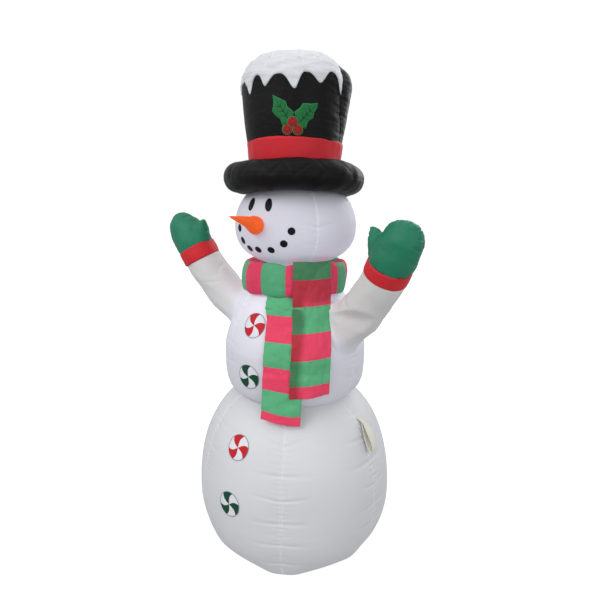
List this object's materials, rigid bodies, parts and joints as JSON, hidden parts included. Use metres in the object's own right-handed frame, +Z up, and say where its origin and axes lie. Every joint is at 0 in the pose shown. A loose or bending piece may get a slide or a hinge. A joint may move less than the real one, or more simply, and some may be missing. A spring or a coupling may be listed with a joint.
{
  "type": "inflatable yard snowman",
  "caption": "Blower-filled nylon snowman with raised mittened arms, black top hat with snow drips and holly, carrot nose, peppermint buttons and a striped scarf.",
  "frame": {"origin": "centre of the flat base, on the ground", "axes": "+Z up, the snowman faces -Y, +X is its left hand side"},
  "size_m": [0.7566, 0.5365, 1.2245],
  "materials": {
    "white_nylon": "coated white nylon taffeta, satin, slightly translucent",
    "warm_white_nylon": "coated white nylon taffeta, unlit sleeves",
    "black_nylon": "coated black nylon taffeta, satin",
    "red_nylon": "coated red nylon taffeta",
    "green_nylon": "coated green nylon taffeta",
    "orange_nylon": "coated orange nylon taffeta",
    "holly_green": "printed green applique",
    "mint_red": "printed red applique",
    "mint_green": "printed dark green applique",
    "coal_print": "printed black applique",
    "scarf_red": "sheer red and green striped nylon",
    "scarf_green": "sheer green and red striped nylon",
    "webbing": "cream polyester webbing",
    "black_plastic": "moulded black plastic",
    "grey_plastic": "moulded grey plastic",
    "motor_steel": "drawn steel can",
    "lamp_lens": "frosted clear plastic",
    "cable_pvc": "black cable jacket",
    "zip_nylon": "coil zip tape",
    "zip_metal": "cast zinc, grey"
  },
  "bodies": {
    "base": {"base_panel": "white_nylon", "lower_gore_1": "white_nylon", "lower_gore_2": "white_nylon", "lower_gore_3": "white_nylon", "lower_gore_4": "white_nylon", "lower_gore_5": "white_nylon", "lower_gore_6": "white_nylon", "button_red_lower": "mint_red", "button_green_lower": "mint_green", "blower_housing": "black_plastic", "blower_motor": "motor_steel", "blower_grille": "black_plastic", "power_inlet": "black_plastic", "zip_tape": "zip_nylon", "lamp_lead_lower": "cable_pvc"},
    "torso": {"torso_gore_1": "white_nylon", "torso_gore_2": "white_nylon", "torso_gore_3": "white_nylon", "torso_gore_4": "white_nylon", "torso_gore_5": "white_nylon", "torso_gore_6": "white_nylon", "button_red_upper": "mint_red", "button_green_upper": "mint_green", "scarf_collar": "scarf_green", "lamp_torso": "lamp_lens", "lamp_lead_upper": "cable_pvc"},
    "head": {"face_panel": "white_nylon", "head_panel_left": "white_nylon", "head_panel_right": "white_nylon", "eye_right": "coal_print", "eye_left": "coal_print", "mouth_dot_1": "coal_print", "mouth_dot_2": "coal_print", "mouth_dot_3": "coal_print", "mouth_dot_4": "coal_print", "mouth_dot_5": "coal_print", "mouth_dot_6": "coal_print", "mouth_dot_7": "coal_print", "carrot_nose": "orange_nylon", "crown_front": "black_nylon", "crown_rear": "black_nylon", "crown_top": "white_nylon", "hat_band": "red_nylon", "hat_brim": "black_nylon", "snow_drips": "white_nylon", "holly_leaves": "holly_green", "holly_berries": "mint_red"},
    "arm_left": {"sleeve_left": "warm_white_nylon", "cuff_left": "red_nylon", "mitten_left": "green_nylon"},
    "arm_right": {"sleeve_right": "warm_white_nylon", "cuff_right": "red_nylon", "mitten_right": "green_nylon"},
    "tail_front": {"scarf_tail_front": "scarf_green"},
    "tail_under": {"scarf_tail_under": "scarf_red"},
    "loop_left": {"tether_loop_left": "webbing"},
    "loop_right": {"tether_loop_right": "webbing"},
    "impeller": {"blower_impeller": "grey_plastic"},
    "zip_slider": {"zip_slider": "zip_metal"},
    "zip_pull": {"zip_pull": "zip_metal"}
  },
  "joints": [
    {"name": "waist_lean", "type": "hinge", "parent": "base", "child": "torso", "pos_m": [0, 0, 0.412], "axis": [0, 1, 0], "range_deg": [-2.5, 2.5], "stiffness_Nm_per_rad": 40},
    {"name": "head_nod", "type": "hinge", "parent": "torso", "child": "head", "pos_m": [0, 0, 0.748], "axis": [1, 0, 0], "range_deg": [-3, 3], "stiffness_Nm_per_rad": 12},
    {"name": "arm_left_sway", "type": "hinge", "parent": "torso", "child": "arm_left", "pos_m": [0.1735, -0.022, 0.605], "axis": [0, 1, 0], "range_deg": [-5, 5], "stiffness_Nm_per_rad": 25},
    {"name": "arm_right_sway", "type": "hinge", "parent": "torso", "child": "arm_right", "pos_m": [-0.1735, -0.022, 0.605], "axis": [0, 1, 0], "range_deg": [-5, 5], "stiffness_Nm_per_rad": 25},
    {"name": "tail_front_swing", "type": "hinge", "parent": "torso", "child": "tail_front", "pos_m": [0.1053, -0.0737, 0.766], "axis": [-0.8387, -0.5446, 0], "range_deg": [0, 28]},
    {"name": "tail_under_swing", "type": "hinge", "parent": "torso", "child": "tail_under", "pos_m": [0.0581, -0.114, 0.677], "axis": [-0.866, -0.5, 0], "range_deg": [0, 28]},
    {"name": "loop_left_flop", "type": "hinge", "parent": "base", "child": "loop_left", "pos_m": [0.2006, 0, 0.372], "axis": [0, -1, 0], "range_deg": [0, 65]},
    {"name": "loop_right_flop", "type": "hinge", "parent": "base", "child": "loop_right", "pos_m": [-0.2006, 0, 0.372], "axis": [0, 1, 0], "range_deg": [0, 65]},
    {"name": "impeller_spin", "type": "hinge", "parent": "base", "child": "impeller", "pos_m": [0, 0.253, 0.12], "axis": [0, 1, 0], "continuous": true},
    {"name": "zip_slide", "type": "hinge", "parent": "base", "child": "zip_slider", "pos_m": [0, -0.0817, 0.1749], "axis": [-1, 0, 0], "range_deg": [0, 17.9]},
    {"name": "zip_pull_swing", "type": "hinge", "parent": "zip_slider", "child": "zip_pull", "pos_m": [0, 0.2303, 0.3317], "axis": [1, 0, 0], "range_deg": [0, 120]}
  ],
  "couplings": [
    {"joint": "tail_under_swing", "follows": "tail_front_swing", "ratio": 1}
  ]
}
